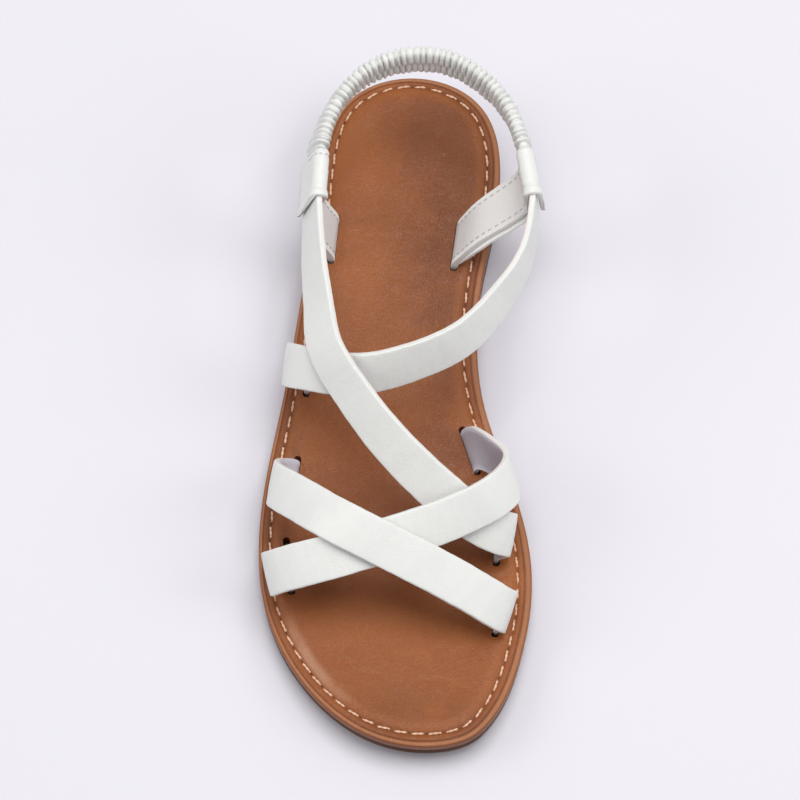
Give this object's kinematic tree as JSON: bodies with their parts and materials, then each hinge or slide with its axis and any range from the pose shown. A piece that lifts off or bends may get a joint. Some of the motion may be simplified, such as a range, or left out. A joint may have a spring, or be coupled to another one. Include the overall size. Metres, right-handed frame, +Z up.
{
  "type": "cross strap sandal",
  "caption": "Flat open-toe right sandal with crossed straps over the forefoot and instep, a stitched padded footbed and a gathered heel strap.",
  "frame": {"origin": "on the floor under the middle of the heel seat, where the tread rests", "axes": "+Z up, -Y towards the toe, +X towards the inner (arch) side of the foot"},
  "size_m": [0.096, 0.2441, 0.0611],
  "materials": {
    "outsole": "matt moulded rubber, dark brown",
    "footbed": "tan synthetic leather over thin foam, stitched round the rim",
    "upper_straps": "smooth off-white leather with a lilac grey lining",
    "quarter_medial": "off-white leather, stitched along both edges",
    "quarter_lateral": "off-white leather, stitched along both edges",
    "sleeve_medial": "folded off-white leather",
    "sleeve_lateral": "folded off-white leather",
    "heel_strap": "off-white leather gathered over elastic"
  },
  "bodies": {
    "root": {"outsole": "outsole", "footbed": "footbed", "upper_straps": "upper_straps", "quarter_medial": "quarter_medial", "quarter_lateral": "quarter_lateral", "sleeve_medial": "sleeve_medial", "sleeve_lateral": "sleeve_lateral", "heel_strap": "heel_strap"}
  },
  "joints": []
}
